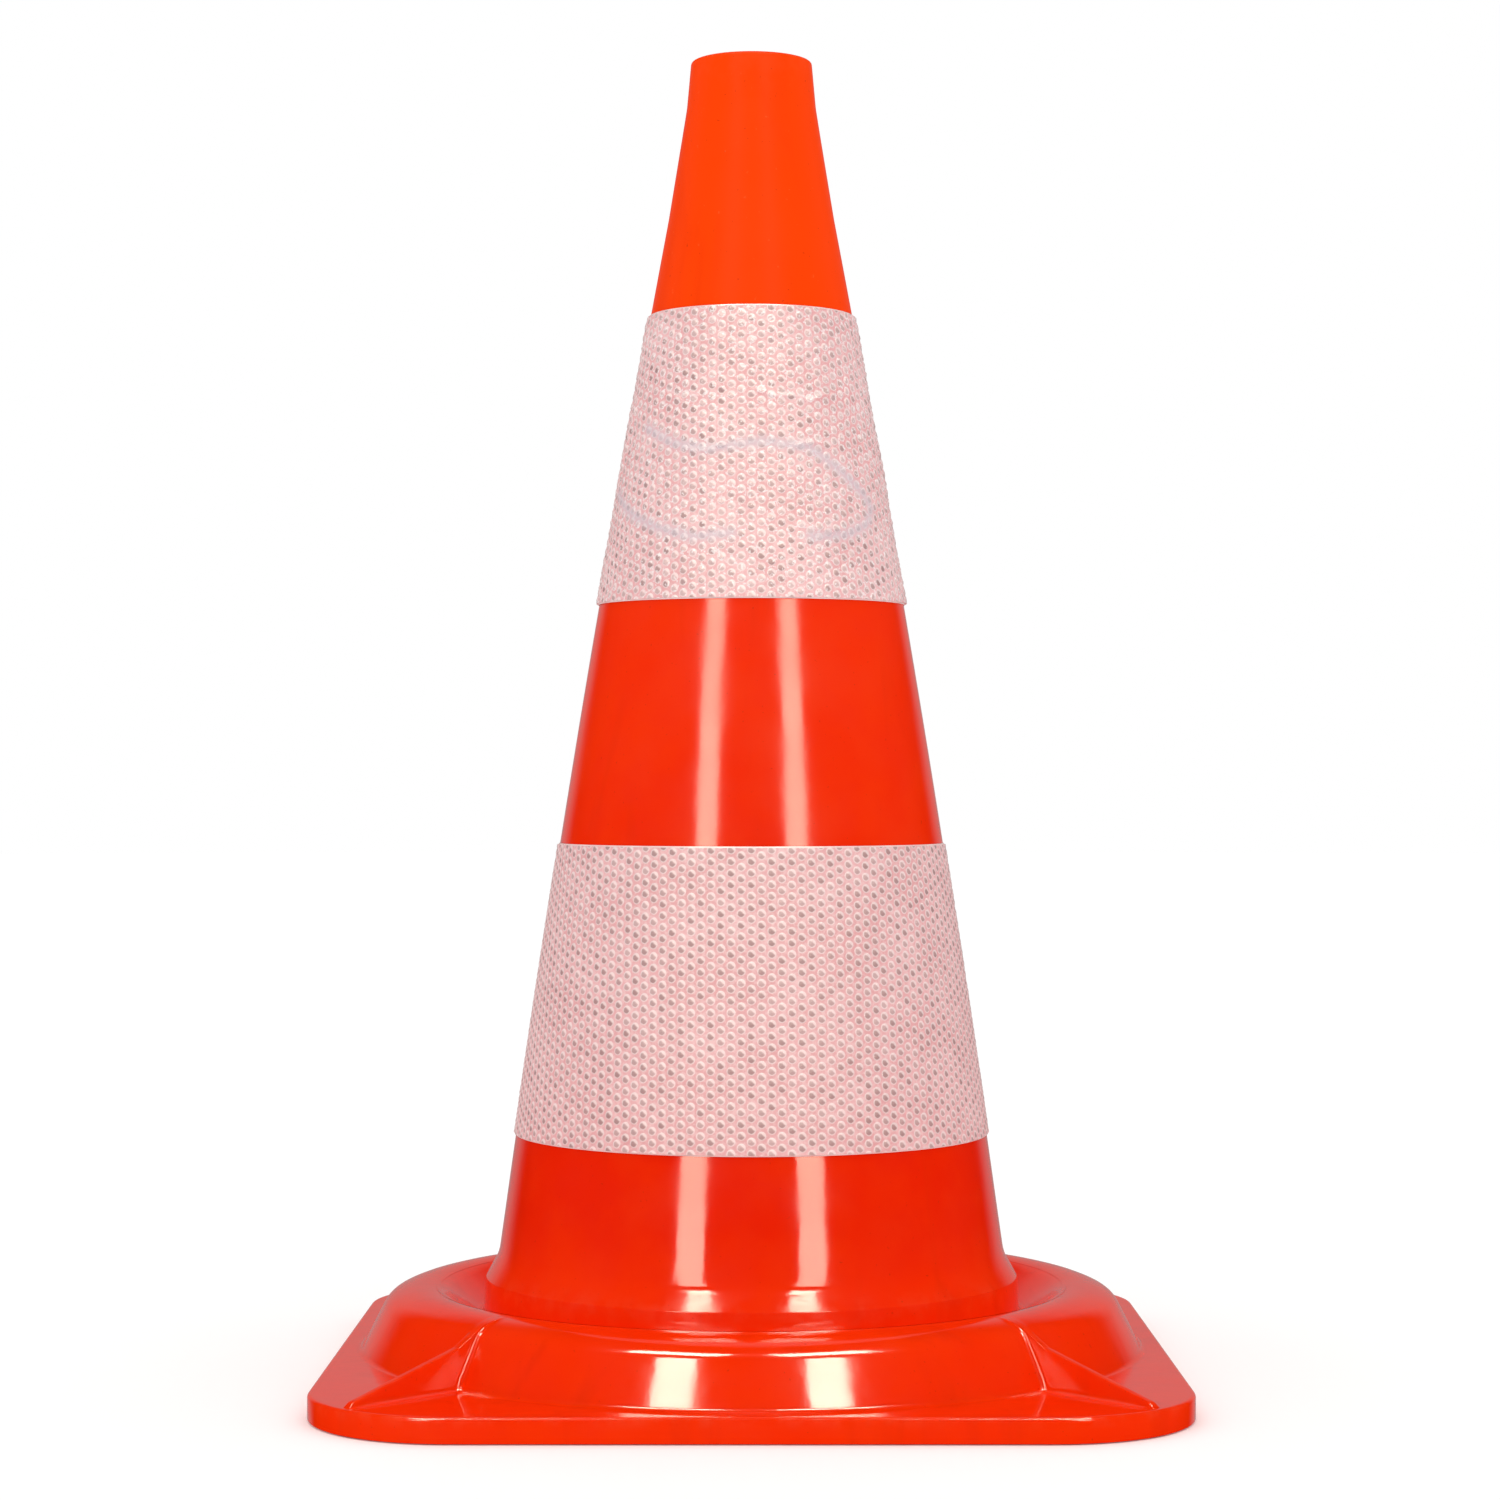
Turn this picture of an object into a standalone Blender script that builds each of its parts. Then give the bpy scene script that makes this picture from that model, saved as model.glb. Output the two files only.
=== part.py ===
"""Traffic cone, 450 mm high on a 282 mm base.

It is one hollow PVC moulding, open at the mouth and underneath, with two retroreflective
sleeves. A sleeve is a smooth carrier film with a prismatic face film sealed over it, whose ends
lap at the back of the cone.
The frame is +Z up, with the origin on the ground under the cone's axis and the front at -Y.
Lengths are in millimetres until they go into a mesh.
"""

import math

import bmesh
import bpy
from mathutils import Matrix

MM = 0.001

# Driving dimensions of the body
HEIGHT = 450.0
BASE_WIDTH = 282.0
PLATE_HEIGHT = 8.2
CORNER_ROUND = 48.0
WALL = 3.3

# Outline of the cone wall: a short steep neck, then a taper that bows out a little below BOW_TOP_Z
MOUTH_RADIUS = 20.8
NECK_RADIUS = 22.3
NECK_Z = 434.0
FOOT_RADIUS = 85.5
FOOT_Z = 48.0
WALL_BOW = 2.2
BOW_TOP_Z = 395.0
LIP_ROUND = 1.2

# Outline of the moulded ring around the cone's foot
LEDGE_RADIUS = 91.2
LEDGE_Z = 32.4
TROUGH_Z = 19.6
CREST_RADIUS = 112.0
CREST_Z = 30.6
SHOULDER_RADIUS = 124.5
SHOULDER_Z = 26.0
RING_RADIUS = 133.6

# Diagonal fins between the ring and the plate's corners
FIN_THICKNESS = 3.0
FIN_TOP_Z = 24.0
FIN_END_Z = 10.2
FIN_START = 118.0
FIN_MEETS_RING = 126.3
FIN_END = 176.5
FIN_BURIED = 5.0

# Underside of the plate: a skirt and four ribs, with shallow pockets between them
SKIRT = 4.0
PLATE_SKIN = 3.6
RIB_THICKNESS = 3.2
POCKET_INNER_RADIUS = RING_RADIUS + 3.6

# Reflective sleeves, cut from sheet 100 mm wide
SHEET_WIDTH = 100.0
SLEEVE_BOTTOMS = {"lower": 81.4, "upper": 262.8}
CARRIER_THICKNESS = 0.25
FACE_THICKNESS = 0.35
FIT_GAP = 0.3
LAP_WIDTH = 9.0
LAP_STEP_DEG = 0.35

SEGMENTS = 64
WALL_STEPS = 9
SLEEVE_STEPS = 3

ORANGE = (0.86, 0.065, 0.004, 1.0)
CARRIER_PINK = (0.80, 0.40, 0.36, 1.0)
FACE_PINK = (0.83, 0.52, 0.50, 1.0)


def clear_scene():
    for obj in list(bpy.data.objects):
        bpy.data.objects.remove(obj)


def material(name, colour, roughness, metallic=0.0):
    made = bpy.data.materials.new(name)
    made.use_nodes = True
    shader = made.node_tree.nodes["Principled BSDF"]
    shader.inputs["Base Color"].default_value = colour
    shader.inputs["Roughness"].default_value = roughness
    shader.inputs["Metallic"].default_value = metallic
    return made


def wall_radius(z):
    """Outer radius of the cone wall at height z, between the foot and the neck."""
    share = (z - FOOT_Z) / (NECK_Z - FOOT_Z)
    straight = FOOT_RADIUS + (NECK_RADIUS - FOOT_RADIUS) * share
    along_bow = min((z - FOOT_Z) / (BOW_TOP_Z - FOOT_Z), 1)
    return straight + WALL_BOW * 4 * along_bow * (1 - along_bow)


def rounded(corners, steps):
    """A polyline of (radius, z, rounding) corners, with each rounding as an arc of that radius."""
    path = []
    for index, (r, z, rounding) in enumerate(corners):
        if not rounding:
            path.append((r, z))
            continue
        before, after = corners[index - 1], corners[(index + 1) % len(corners)]
        a = math.atan2(before[1] - z, before[0] - r)
        b = math.atan2(after[1] - z, after[0] - r)
        opening = (b - a + math.pi) % (2 * math.pi) - math.pi
        half = abs(opening) / 2
        middle = a + opening / 2
        cut = rounding / math.tan(half)
        reach = rounding / math.sin(half)
        centre_r = r + reach * math.cos(middle)
        centre_z = z + reach * math.sin(middle)
        first = math.atan2(z + cut * math.sin(a) - centre_z, r + cut * math.cos(a) - centre_r)
        last = math.atan2(z + cut * math.sin(b) - centre_z, r + cut * math.cos(b) - centre_r)
        sweep = (last - first + math.pi) % (2 * math.pi) - math.pi
        for step in range(steps + 1):
            angle = first + sweep * step / steps
            path.append((centre_r + rounding * math.cos(angle), centre_z + rounding * math.sin(angle)))
    return path


def wall_points(offset):
    """Points down the cone wall, from just under the neck to just above the foot."""
    heights = [NECK_Z + (FOOT_Z - NECK_Z) * step / WALL_STEPS for step in range(1, WALL_STEPS)]
    return [(wall_radius(z) - offset, z, 0) for z in heights]


def outer_outline():
    """The body's outside, from the axis at the mouth down to inside the plate."""
    return rounded([
        (0, HEIGHT, 0),
        (MOUTH_RADIUS, HEIGHT, LIP_ROUND),
        (NECK_RADIUS, NECK_Z, 30),
        *wall_points(0),
        (FOOT_RADIUS + 1.2, FOOT_Z - 8, 14),
        (LEDGE_RADIUS, LEDGE_Z, 0.9),
        (LEDGE_RADIUS + 0.8, TROUGH_Z, 1.6),
        (LEDGE_RADIUS + 3.4, TROUGH_Z, 1.6),
        (CREST_RADIUS - 6.5, CREST_Z - 2.0, 12),
        (CREST_RADIUS + 2.0, CREST_Z, 22),
        (SHOULDER_RADIUS, SHOULDER_Z, 9),
        (RING_RADIUS, PLATE_HEIGHT - 0.2, 2.4),
        (RING_RADIUS + 4.0, PLATE_HEIGHT - 0.5, 0),
        (RING_RADIUS + 4.0, PLATE_HEIGHT / 2, 0),
        (0, PLATE_HEIGHT / 2, 0),
    ], steps=3)


def cavity_outline():
    """The hollow inside, from the axis above the mouth down to the axis under the plate."""
    below, above = -1.0, 1.0
    return rounded([
        (0, HEIGHT + above, 0),
        (MOUTH_RADIUS - WALL, HEIGHT + above, 0),
        (MOUTH_RADIUS - WALL, HEIGHT - 2, 0),
        (NECK_RADIUS - WALL, NECK_Z, 0),
        *wall_points(WALL),
        (FOOT_RADIUS + 0.9 - WALL, FOOT_Z - 10, 14),
        (LEDGE_RADIUS - WALL, LEDGE_Z - 4, 0),
        (LEDGE_RADIUS - WALL + 0.6, TROUGH_Z - WALL, 1.0),
        (LEDGE_RADIUS + 6.0, TROUGH_Z - WALL, 3.0),
        (CREST_RADIUS - 4.6, CREST_Z - 5.0, 8),
        (CREST_RADIUS + 1.6, CREST_Z - WALL, 14),
        (SHOULDER_RADIUS - 2.2, SHOULDER_Z - 3.0, 6),
        (RING_RADIUS - 3.9, PLATE_HEIGHT, 0),
        (RING_RADIUS - 3.6, below, 0),
        (0, below, 0),
    ], steps=2)


def object_from(name, mesh_data, finish=None):
    mesh = bpy.data.meshes.new(name)
    bmesh.ops.recalc_face_normals(mesh_data, faces=mesh_data.faces)
    mesh_data.to_mesh(mesh)
    mesh_data.free()
    mesh.transform(Matrix.Scale(MM, 4))
    obj = bpy.data.objects.new(name, mesh)
    bpy.context.scene.collection.objects.link(obj)
    if finish:
        mesh.materials.append(finish)
        mesh.shade_smooth()
        mesh.set_sharp_from_angle(angle=math.radians(32))
    else:
        obj.hide_render = True
        obj.display_type = "WIRE"
    return obj


def turned(outline):
    """A closed solid turned about Z from an outline that starts and ends on the axis."""
    shape = bmesh.new()
    rings = []
    for r, z in outline:
        if r == 0:
            rings.append([shape.verts.new((0, 0, z))])
            continue
        turns = [2 * math.pi * step / SEGMENTS for step in range(SEGMENTS)]
        rings.append([shape.verts.new((r * math.cos(t), r * math.sin(t), z)) for t in turns])
    for upper, lower in zip(rings, rings[1:]):
        for step in range(SEGMENTS):
            after = (step + 1) % SEGMENTS
            if len(upper) == 1:
                shape.faces.new((upper[0], lower[step], lower[after]))
            elif len(lower) == 1:
                shape.faces.new((upper[after], upper[step], lower[0]))
            else:
                shape.faces.new((upper[after], upper[step], lower[step], lower[after]))
    return shape


def prism(outline, bottom, top):
    """A solid with that (x, y) outline, from bottom to top."""
    shape = bmesh.new()
    floor = shape.faces.new([shape.verts.new((x, y, bottom)) for x, y in outline])
    raised = bmesh.ops.extrude_face_region(shape, geom=[floor])["geom"]
    moved = [item for item in raised if isinstance(item, bmesh.types.BMVert)]
    bmesh.ops.translate(shape, verts=moved, vec=(0, 0, top - bottom))
    return shape


def plate_outline(inset=0.0):
    """The square with its rounded corners, moved in by inset."""
    half = BASE_WIDTH / 2 - inset
    turn = CORNER_ROUND - inset
    corners = [(half, half, turn), (-half, half, turn), (-half, -half, turn), (half, -half, turn)]
    return rounded(corners, steps=10)


def plate():
    shape = prism(plate_outline(), 0, PLATE_HEIGHT)
    rims = [e for e in shape.edges if all(abs(v.co.z - PLATE_HEIGHT) < 1e-6 for v in e.verts)]
    bmesh.ops.bevel(shape, geom=rims, offset=1.2, segments=3, profile=0.5, affect="EDGES")
    return object_from("cut_plate", shape)


def fin(index):
    """A thin wedge along one diagonal, high at the ring and low at the plate's corner."""
    side = [
        (FIN_START, FIN_BURIED),
        (FIN_START, FIN_TOP_Z + 0.5),
        (FIN_MEETS_RING, FIN_TOP_Z),
        (FIN_END - 1.2, FIN_END_Z),
        (FIN_END, FIN_END_Z - 1.0),
        (FIN_END, FIN_BURIED),
    ]
    shape = bmesh.new()
    half = FIN_THICKNESS / 2
    face = shape.faces.new([shape.verts.new((along, -half, z)) for along, z in side])
    pushed = bmesh.ops.extrude_face_region(shape, geom=[face])["geom"]
    moved = [item for item in pushed if isinstance(item, bmesh.types.BMVert)]
    bmesh.ops.translate(shape, verts=moved, vec=(0, FIN_THICKNESS, 0))
    turn = Matrix.Rotation(math.radians(45 + 90 * index), 3, "Z")
    bmesh.ops.rotate(shape, verts=shape.verts, cent=(0, 0, 0), matrix=turn)
    return object_from(f"cut_fin_{index + 1}", shape)


def diagonal_bar(index):
    """What is left standing between two pockets: a bar along one diagonal."""
    shape = bmesh.new()
    bmesh.ops.create_cube(shape, size=1)
    bmesh.ops.scale(shape, verts=shape.verts, vec=(2 * BASE_WIDTH, RIB_THICKNESS, 2 * PLATE_HEIGHT))
    turn = Matrix.Rotation(math.radians(45 + 90 * index), 3, "Z")
    bmesh.ops.rotate(shape, verts=shape.verts, cent=(0, 0, 0), matrix=turn)
    return object_from(f"cut_rib_{index + 1}", shape)


def boolean(obj, other, operation):
    step = obj.modifiers.new(f"{operation.lower()} {other.name}", "BOOLEAN")
    step.operation = operation
    step.object = other
    step.solver = "EXACT"


def pockets():
    """Shallow hollows under the plate's corners, on both sides of each diagonal rib."""
    inner = PLATE_HEIGHT - PLATE_SKIN
    cutter = object_from("cut_pockets", prism(plate_outline(SKIRT), -1.0, inner))
    core_turns = [2 * math.pi * step / SEGMENTS for step in range(SEGMENTS)]
    core_outline = [
        (POCKET_INNER_RADIUS * math.cos(turn), POCKET_INNER_RADIUS * math.sin(turn))
        for turn in core_turns
    ]
    core = object_from("cut_pocket_core", prism(core_outline, -3.0, PLATE_HEIGHT))
    boolean(cutter, core, "DIFFERENCE")
    for index in range(2):
        boolean(cutter, diagonal_bar(index), "DIFFERENCE")
    return cutter


def cone_body(finish):
    """The one-piece moulding: cone, ring, plate and fins joined, then hollowed out."""
    body = object_from("cone_body", turned(outer_outline()), finish)
    boolean(body, plate(), "UNION")
    for index in range(4):
        boolean(body, fin(index), "UNION")
    boolean(body, object_from("cut_cavity", turned(cavity_outline())), "DIFFERENCE")
    boolean(body, pockets(), "DIFFERENCE")
    return body


def film_directions(radius, lapped):
    """Directions around a film in degrees, each with whether the film lies double there."""
    directions = [(360 * step / SEGMENTS, False) for step in range(SEGMENTS)]
    if not lapped:
        return directions
    lap = math.degrees(LAP_WIDTH / radius)
    start, end = 90 - lap / 2, 90 + lap / 2
    outside = [(angle, double) for angle, double in directions if not start - 2 < angle < end + 2]
    steps = [
        (start - LAP_STEP_DEG, False),
        (start, True),
        (90, True),
        (end, True),
        (end + LAP_STEP_DEG, False),
    ]
    return sorted(outside + steps)


def film(name, bottom, standoff, thickness, lapped, finish):
    """A film wrapped round the cone and following its wall, double at the back if its ends lap."""
    height = SHEET_WIDTH * math.cos(math.atan((FOOT_RADIUS - NECK_RADIUS) / (NECK_Z - FOOT_Z)))
    heights = [bottom + height * step / SLEEVE_STEPS for step in range(SLEEVE_STEPS + 1)]
    directions = film_directions(wall_radius(bottom + height / 2), lapped)
    shape = bmesh.new()
    inner, outer = [], []
    for z in heights:
        base = wall_radius(z) + standoff
        inner_ring, outer_ring = [], []
        for angle, double in directions:
            turn = math.radians(angle)
            out = base + thickness * (2 if double else 1)
            inner_ring.append(shape.verts.new((base * math.cos(turn), base * math.sin(turn), z)))
            outer_ring.append(shape.verts.new((out * math.cos(turn), out * math.sin(turn), z)))
        inner.append(inner_ring)
        outer.append(outer_ring)
    count = len(directions)
    for step in range(count):
        after = (step + 1) % count
        for low in range(SLEEVE_STEPS):
            high = low + 1
            shape.faces.new((inner[low][after], inner[low][step], inner[high][step], inner[high][after]))
            shape.faces.new((outer[low][step], outer[low][after], outer[high][after], outer[high][step]))
        for inside, outside in ((inner[0], outer[0]), (inner[-1], outer[-1])):
            shape.faces.new((inside[step], inside[after], outside[after], outside[step]))
    return object_from(name, shape, finish)


def sleeves():
    carrier = material("carrier_film", CARRIER_PINK, 0.45)
    face = material("prismatic_film", FACE_PINK, 0.3)
    for place, bottom in SLEEVE_BOTTOMS.items():
        film(f"{place}_sleeve_carrier", bottom, FIT_GAP, CARRIER_THICKNESS, False, carrier)
        standoff = FIT_GAP + CARRIER_THICKNESS + FIT_GAP
        film(f"{place}_sleeve_face", bottom, standoff, FACE_THICKNESS, True, face)


def main():
    clear_scene()
    cone_body(material("orange_pvc", ORANGE, 0.28))
    sleeves()


main()
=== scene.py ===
"""Looks of the traffic cone: a glossy one-piece moulding that wears two wrapped reflective sleeves.

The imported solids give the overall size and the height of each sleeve, and the outline repeats the
dimensions that they were made from. Here the moulding and the films are modelled again at a finer
resolution, with the embossed cells, bubbles and creases that the plain solids leave out. Lengths
are in millimetres until they go into a mesh. The frame is +Z up, with the front at -Y, and an
azimuth is measured from the front towards +X.
"""

import math

import bmesh
import bpy
import numpy as np
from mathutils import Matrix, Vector

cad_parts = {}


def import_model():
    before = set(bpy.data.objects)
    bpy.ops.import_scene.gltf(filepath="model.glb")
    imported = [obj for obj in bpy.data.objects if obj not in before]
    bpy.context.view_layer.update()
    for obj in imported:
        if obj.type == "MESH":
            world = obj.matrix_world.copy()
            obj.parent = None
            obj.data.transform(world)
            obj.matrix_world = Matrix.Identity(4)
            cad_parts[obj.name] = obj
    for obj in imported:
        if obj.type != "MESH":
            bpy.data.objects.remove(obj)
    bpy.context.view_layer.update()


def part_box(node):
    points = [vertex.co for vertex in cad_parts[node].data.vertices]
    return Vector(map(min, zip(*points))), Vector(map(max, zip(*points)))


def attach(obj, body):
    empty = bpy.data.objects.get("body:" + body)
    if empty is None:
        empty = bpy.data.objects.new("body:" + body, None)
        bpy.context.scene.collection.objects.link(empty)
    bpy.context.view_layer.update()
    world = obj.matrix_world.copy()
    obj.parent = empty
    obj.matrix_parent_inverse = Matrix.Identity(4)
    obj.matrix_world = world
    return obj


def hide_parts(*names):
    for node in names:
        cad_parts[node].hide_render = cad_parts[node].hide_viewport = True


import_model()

MM = 0.001

# Size of the moulding, from its solid
BODY_LOW, BODY_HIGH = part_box("cone_body")
HEIGHT = BODY_HIGH.z / MM
BASE_HALF = BODY_HIGH.x / MM

# Outline of the cone wall
MOUTH_RADIUS = 20.8
NECK_RADIUS = 22.3
NECK_Z = 434.0
FOOT_RADIUS = 85.5
FOOT_Z = 48.0
WALL_BOW = 2.2
BOW_TOP_Z = 395.0
WALL = 3.3
LIP_ROUND = 1.2
LIP_INNER_ROUND = 0.8

# Outline of the ring and the plate
LEDGE_RADIUS = 91.2
LEDGE_Z = 32.4
TROUGH_Z = 19.6
CREST_RADIUS = 112.0
CREST_Z = 30.6
SHOULDER_RADIUS = 124.5
SHOULDER_Z = 26.0
RING_RADIUS = 133.6
PLATE_START = 137.4
PLATE_HEIGHT = 8.2
CORNER_ROUND = 48.0
RIM_ROUND = 1.2
FLOOR_EDGE_ROUND = 0.5

# Diagonal fins
FIN_HALF_TOP = 1.35
FIN_HALF_FOOT = 1.6
FIN_TOP_ROUND = 0.5
FIN_FILLET = 2.0
FIN_TOP_Z = 24.0
FIN_END_Z = 10.2
FIN_START = 118.0
FIN_MEETS_RING = 126.3
FIN_END = 176.5

# Underside
SKIRT = 4.0
POCKET_CEILING = 4.6
POCKET_INNER = RING_RADIUS + 3.6
RIB_HALF = 1.6
RING_WALL_INNER = RING_RADIUS - 3.6

# Columns of the moulding's mesh: lines beside each diagonal in mm, and the directions between them
# in degrees from the middle of a side, closer together around the plate's corner
FIN_LINES = (0.5, 0.85, 1.0, 1.18, 1.29, 1.35, 1.6, 1.68, 1.85, 2.15, 2.6, 3.1, 3.6, 5.0, 6.5)
FIN_LINES_FROM = 118.0
COARSE_DIRECTIONS = np.linspace(0, 33.0, 20, endpoint=False)
CORNER_DIRECTIONS = np.linspace(33.0, 41.4, 13)

# The dull tip's finish starts here, under the upper sleeve outside and deep in the hollow inside
TIP_FROM_Z = 312.0

# Reflective sleeves
SHEET_WIDTH = 100.0
SEAL_BORDER = 0.45
CARRIER_STANDOFF = 0.2
CARRIER_THICKNESS = 0.2
FACE_STANDOFF = 0.45
FACE_THICKNESS = 0.3
LAP_WIDTH = 9.0
LAP_RAMP = 3.0
CELL_PITCH = 3.8
CELL_RADIUS = 1.45
CELL_HEIGHT = 0.22
DUD_CELLS = 0.03
BACKING_SEGMENTS = 256

# How far the face films stand off their own surface, over blisters and along creases
FLAT_BUBBLES = 0.04
CREASED_BUBBLES = 0.38
CREASE_RISE = 0.5
CREASE_SPREAD = 0.9
CREASE_WIDTH = 0.8
GLUE_WIDTH = 1.9


def smoothstep(low, high, value):
    t = np.clip((np.asarray(value, float) - low) / (high - low), 0, 1)
    return t * t * (3 - 2 * t)


# ---------------------------------------------------------------- outlines

def wall_radius(z):
    """Outer radius of the cone wall at height z, between the foot and the neck."""
    share = (z - FOOT_Z) / (NECK_Z - FOOT_Z)
    straight = FOOT_RADIUS + (NECK_RADIUS - FOOT_RADIUS) * share
    along_bow = min((z - FOOT_Z) / (BOW_TOP_Z - FOOT_Z), 1)
    return straight + WALL_BOW * 4 * along_bow * (1 - along_bow)


def rounded(corners, step_deg=9.0):
    """A polyline of (a, b, rounding) corners, with each rounding as an arc of that radius."""
    path = []
    for index, (r, z, rounding) in enumerate(corners):
        if not rounding:
            path.append((r, z))
            continue
        before, after = corners[index - 1], corners[(index + 1) % len(corners)]
        a = math.atan2(before[1] - z, before[0] - r)
        b = math.atan2(after[1] - z, after[0] - r)
        opening = (b - a + math.pi) % (2 * math.pi) - math.pi
        half = abs(opening) / 2
        cut, reach = rounding / math.tan(half), rounding / math.sin(half)
        centre_r = r + reach * math.cos(a + opening / 2)
        centre_z = z + reach * math.sin(a + opening / 2)
        first = math.atan2(z + cut * math.sin(a) - centre_z, r + cut * math.cos(a) - centre_r)
        last = math.atan2(z + cut * math.sin(b) - centre_z, r + cut * math.cos(b) - centre_r)
        sweep = (last - first + math.pi) % (2 * math.pi) - math.pi
        steps = max(2, math.ceil(abs(math.degrees(sweep)) / step_deg))
        for step in range(steps + 1):
            angle = first + sweep * step / steps
            path.append((centre_r + rounding * math.cos(angle), centre_z + rounding * math.sin(angle)))
    return path


def divided(path, longest):
    """The same polyline with its long stretches cut into steps no longer than that."""
    fine = [path[0]]
    for (r0, z0), (r1, z1) in zip(path, path[1:]):
        count = max(1, math.ceil(math.hypot(r1 - r0, z1 - z0) / longest))
        fine += [(r0 + (r1 - r0) * k / count, z0 + (z1 - z0) * k / count) for k in range(1, count + 1)]
    return fine


def wall_points(offset, steps):
    heights = [NECK_Z + (FOOT_Z - NECK_Z) * step / steps for step in range(1, steps)]
    return [(wall_radius(z) - offset, z, 0) for z in heights]


def cone_outline():
    """The outside of the cone, from the inner edge of the lip down to the ledge at its foot."""
    corners = [
        (MOUTH_RADIUS - WALL, HEIGHT - 6, 0),
        (MOUTH_RADIUS - WALL, HEIGHT, LIP_INNER_ROUND),
        (MOUTH_RADIUS, HEIGHT, LIP_ROUND),
        (NECK_RADIUS, NECK_Z, 30),
        *wall_points(0, 40),
        (FOOT_RADIUS + 1.2, FOOT_Z - 8, 14),
        (LEDGE_RADIUS, LEDGE_Z, 0.9),
        (LEDGE_RADIUS + 0.8, TROUGH_Z, 1.6),
        (LEDGE_RADIUS + 3.4, TROUGH_Z, 1.6),
        (CREST_RADIUS - 6.5, CREST_Z - 2.0, 12),
        (CREST_RADIUS + 2.0, CREST_Z, 22),
    ]
    return corners


def ring_outline():
    """The outside from the ring's crest to the plate."""
    return [
        (CREST_RADIUS + 2.0, CREST_Z, 22),
        (SHOULDER_RADIUS, SHOULDER_Z, 9),
        (RING_RADIUS, PLATE_HEIGHT, 2.4),
        (PLATE_START, PLATE_HEIGHT, 0),
    ]


def outer_path():
    full = rounded(cone_outline()[:-1] + ring_outline(), 7.0)
    return full[1:]


def cavity_path():
    """The hollow inside, from under the ring's outer wall up to the mouth."""
    corners = [
        (RING_WALL_INNER, 0, 0),
        (RING_RADIUS - 3.9, PLATE_HEIGHT, 0),
        (SHOULDER_RADIUS - 2.2, SHOULDER_Z - 3.0, 6),
        (CREST_RADIUS + 1.6, CREST_Z - WALL, 14),
        (CREST_RADIUS - 4.6, CREST_Z - 5.0, 8),
        (LEDGE_RADIUS + 6.0, TROUGH_Z - WALL, 3.0),
        (LEDGE_RADIUS - WALL + 0.6, TROUGH_Z - WALL, 1.0),
        (LEDGE_RADIUS - WALL, LEDGE_Z - 4, 1.0),
        (FOOT_RADIUS + 0.9 - WALL, FOOT_Z - 10, 14),
        *reversed(wall_points(WALL, 16)),
        (NECK_RADIUS - WALL, NECK_Z, 12),
        (MOUTH_RADIUS - WALL, HEIGHT - 6, 0),
    ]
    return divided(rounded(corners, 12.0), 14.0)


def plate_outline(inset):
    """The square with its rounded corners, moved in by inset."""
    half, turn = BASE_HALF - inset, CORNER_ROUND - inset
    corners = [(half, half, turn), (-half, half, turn), (-half, -half, turn), (half, -half, turn)]
    path = rounded(corners, 2.0)
    return divided(path + path[:1], 1.0)


# ---------------------------------------------------------------- mesh of the moulding

def column_table():
    """For each column of the mesh: its direction, and its distance beside a diagonal or nan."""
    octant = np.concatenate([COARSE_DIRECTIONS, CORNER_DIRECTIONS])
    lines = np.array([-s for s in reversed(FIN_LINES)] + [0.0] + list(FIN_LINES))
    directions, beside = [], []
    for quarter in range(4):
        start = 90.0 * quarter
        directions += list(start + octant) + [start + 45.0] * len(lines) + list(start + 90.0 - octant[:0:-1])
        beside += [np.nan] * len(octant) + list(lines) + [np.nan] * (len(octant) - 1)
    return np.radians(directions), np.array(beside)


DIRECTION, BESIDE = column_table()
ON_LINE = ~np.isnan(BESIDE)
LINE_OFFSET = np.where(ON_LINE, BESIDE, 0.0)
DIAGONAL = np.floor(DIRECTION / (math.pi / 2)) * (math.pi / 2) + math.pi / 4


def from_diagonal(along, across):
    """Points at those distances along and across each column's nearest diagonal."""
    x = along * np.cos(DIAGONAL) - across * np.sin(DIAGONAL)
    y = along * np.sin(DIAGONAL) + across * np.cos(DIAGONAL)
    return x, y


def to_diagonal(x, y):
    along = x * np.cos(DIAGONAL) + y * np.sin(DIAGONAL)
    across = y * np.cos(DIAGONAL) - x * np.sin(DIAGONAL)
    return along, np.abs(across)


def circle_row(radius):
    """One point on each column, on a circle of that radius about the axis."""
    radius = np.broadcast_to(radius, DIRECTION.shape)
    across = LINE_OFFSET * np.minimum(1, radius / FIN_LINES_FROM)
    line_x, line_y = from_diagonal(np.sqrt(np.maximum(radius ** 2 - across ** 2, 0)), across)
    x = np.where(ON_LINE, line_x, radius * np.cos(DIRECTION))
    y = np.where(ON_LINE, line_y, radius * np.sin(DIRECTION))
    return x, y


def outline_row(inset):
    """One point on each column, on the plate's outline moved in by inset."""
    points = np.array(plate_outline(inset))
    angles = np.arctan2(points[:, 1], points[:, 0]) % (2 * math.pi)
    order = np.argsort(angles)
    angles, points = angles[order], points[order]
    x = np.interp(DIRECTION, angles, points[:, 0], period=2 * math.pi)
    y = np.interp(DIRECTION, angles, points[:, 1], period=2 * math.pi)
    centre = (BASE_HALF - CORNER_ROUND) * math.sqrt(2)
    reach = np.sqrt((CORNER_ROUND - inset) ** 2 - LINE_OFFSET ** 2)
    line_x, line_y = from_diagonal(centre + reach, LINE_OFFSET)
    return np.where(ON_LINE, line_x, x), np.where(ON_LINE, line_y, y)


def between(start, end, share):
    return tuple(a + (b - a) * share for a, b in zip(start, end))


def wobble(x, y, z):
    """How far the soft wall stands off a true cone, in millimetres."""
    turn = np.arctan2(y, x)
    slow = np.sin(2 * turn + 0.9 + z / 130) + 0.6 * np.sin(3 * turn - 1.3 - z / 85)
    quick = 0.35 * np.sin(7 * turn + z / 23) * np.sin(z / 31 + 0.4)
    return 0.07 * (slow + quick)


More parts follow.
